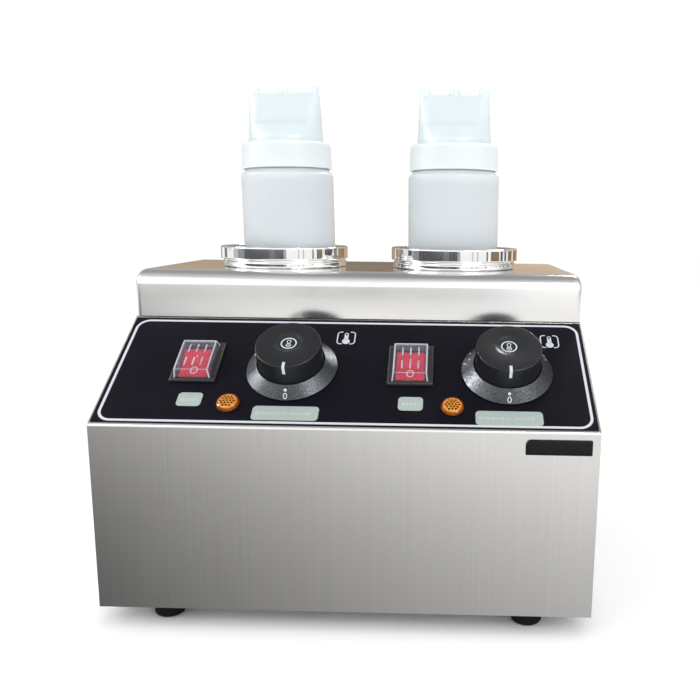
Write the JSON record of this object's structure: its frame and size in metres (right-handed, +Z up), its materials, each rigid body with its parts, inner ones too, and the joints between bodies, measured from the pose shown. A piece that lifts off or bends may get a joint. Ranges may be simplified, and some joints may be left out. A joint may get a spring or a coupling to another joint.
{
  "type": "sauce bottle warmer",
  "caption": "Countertop cheese sauce warmer: stainless casing with heated wells, sloping panel with rocker switches and thermostat knobs, and three-tip squeeze bottles.",
  "frame": {"origin": "on the floor under the middle of the object's bounding box", "axes": "+X to the right seen from the front, +Y to the back, +Z up"},
  "size_m": [0.3144, 0.2546, 0.352],
  "materials": {
    "brushed_steel": "brushed stainless sheet with a fine vertical grain",
    "polished_steel": "turned and mirror-polished stainless",
    "well_steel": "drawn stainless, satin inside",
    "galvanised_steel": "dull galvanised sheet",
    "screw_steel": "bright zinc-plated steel",
    "foot_rubber": "matt black rubber",
    "badge_black": "domed gloss black, left blank",
    "overlay_black": "fine-textured black polyester film with white print",
    "gland_black": "moulded black nylon",
    "terminal_plastic": "white nylon",
    "wire_red": "silicone-covered wire",
    "heater_mica": "mica band heater in a steel jacket",
    "lagging": "glass-fibre lagging",
    "cutout_black": "phenolic",
    "copper": "drawn copper",
    "thermostat_zinc": "zinc-plated housing",
    "switch_black": "satin black plastic",
    "cover_clear": "clear flexible plastic",
    "lens_amber": "faceted amber plastic",
    "skirt_black": "spark-textured black plastic with white marks",
    "knob_black": "satin black plastic with white marks",
    "rocker_red": "red translucent plastic with white marks",
    "bottle_plastic": "milky translucent polyethylene",
    "cap_plastic": "bluish-white translucent polypropylene"
  },
  "bodies": {
    "warmer_body": {"front_panel": "brushed_steel", "side_panel_left": "brushed_steel", "side_panel_right": "brushed_steel", "back_panel": "brushed_steel", "base_plate": "galvanised_steel", "top_cover": "brushed_steel", "seam_bracket_left": "galvanised_steel", "seam_bracket_right": "galvanised_steel", "hood_screw_front_left": "screw_steel", "hood_screw_front_right": "screw_steel", "hood_screw_back_left": "screw_steel", "hood_screw_back_right": "screw_steel", "foot_front_left": "foot_rubber", "foot_front_right": "foot_rubber", "foot_back_left": "foot_rubber", "foot_back_right": "foot_rubber", "badge_plate": "badge_black", "rating_plate": "galvanised_steel", "control_overlay": "overlay_black", "gland_body": "gland_black", "gland_cap": "gland_black", "gland_nut": "gland_black", "terminal_block": "terminal_plastic", "wiring_loom": "wire_red", "rim_ring_left": "polished_steel", "well_pot_left": "well_steel", "heater_band_left": "heater_mica", "insulation_left": "lagging", "thermal_cutout_left": "cutout_black", "sensor_bulb_left": "copper", "thermostat_body_left": "thermostat_zinc", "switch_housing_left": "switch_black", "splash_cover_left": "cover_clear", "indicator_lens_left": "lens_amber", "indicator_body_left": "switch_black", "knob_skirt_left": "skirt_black", "rim_ring_right": "polished_steel", "well_pot_right": "well_steel", "heater_band_right": "heater_mica", "insulation_right": "lagging", "thermal_cutout_right": "cutout_black", "sensor_bulb_right": "copper", "thermostat_body_right": "thermostat_zinc", "switch_housing_right": "switch_black", "splash_cover_right": "cover_clear", "indicator_lens_right": "lens_amber", "indicator_body_right": "switch_black", "knob_skirt_right": "skirt_black"},
    "left_knob": {"knob_left": "knob_black", "thermostat_spindle_left": "screw_steel"},
    "left_rocker": {"rocker_left": "rocker_red"},
    "left_bottle": {"bottle_left": "bottle_plastic"},
    "left_nozzle": {"nozzle_head_left": "cap_plastic"},
    "left_collar": {"cap_collar_left": "cap_plastic"},
    "right_knob": {"knob_right": "knob_black", "thermostat_spindle_right": "screw_steel"},
    "right_rocker": {"rocker_right": "rocker_red"},
    "right_bottle": {"bottle_right": "bottle_plastic"},
    "right_nozzle": {"nozzle_head_right": "cap_plastic"},
    "right_collar": {"cap_collar_right": "cap_plastic"}
  },
  "joints": [
    {"name": "left_knob_turn", "type": "hinge", "parent": "warmer_body", "child": "left_knob", "pos_m": [-0.0377, -0.08407, 0.15893], "axis": [0, 0.5535, -0.8328], "range_deg": [0, 300]},
    {"name": "left_rocker_press", "type": "hinge", "parent": "warmer_body", "child": "left_rocker", "pos_m": [-0.0999, -0.08352, 0.1599], "axis": [-1, 0, 0], "range_deg": [0, 19]},
    {"name": "left_bottle_lift", "type": "slide", "parent": "warmer_body", "child": "left_bottle", "axis": [-0.0183, 0, 0.9998], "range_m": [0, 0.16]},
    {"name": "left_nozzle_lift", "type": "slide", "parent": "left_bottle", "child": "left_nozzle", "axis": [-0.0183, 0, 0.9998], "range_m": [0, 0.018]},
    {"name": "left_collar_unscrew", "type": "hinge", "parent": "left_nozzle", "child": "left_collar", "pos_m": [-0.06026, 0.0236, 0.29717], "axis": [-0.0183, 0, 0.9998], "range_deg": [0, 1081]},
    {"name": "right_knob_turn", "type": "hinge", "parent": "warmer_body", "child": "right_knob", "pos_m": [0.1013, -0.08407, 0.15893], "axis": [0, 0.5535, -0.8328], "range_deg": [0, 300]},
    {"name": "right_rocker_press", "type": "hinge", "parent": "warmer_body", "child": "right_rocker", "pos_m": [0.0391, -0.08352, 0.1599], "axis": [-1, 0, 0], "range_deg": [0, 19]},
    {"name": "right_bottle_lift", "type": "slide", "parent": "warmer_body", "child": "right_bottle", "axis": [-0.0052, 0, 1], "range_m": [0, 0.16]},
    {"name": "right_nozzle_lift", "type": "slide", "parent": "right_bottle", "child": "right_nozzle", "axis": [-0.0052, 0, 1], "range_m": [0, 0.018]},
    {"name": "right_collar_unscrew", "type": "hinge", "parent": "right_nozzle", "child": "right_collar", "pos_m": [0.06625, 0.0286, 0.2972], "axis": [-0.0052, 0, 1], "range_deg": [0, 1081]}
  ],
  "couplings": [
    {"joint": "left_collar_unscrew", "follows": "left_nozzle_lift", "rad_per_m": 1047.2},
    {"joint": "right_collar_unscrew", "follows": "right_nozzle_lift", "rad_per_m": 1047.2}
  ]
}
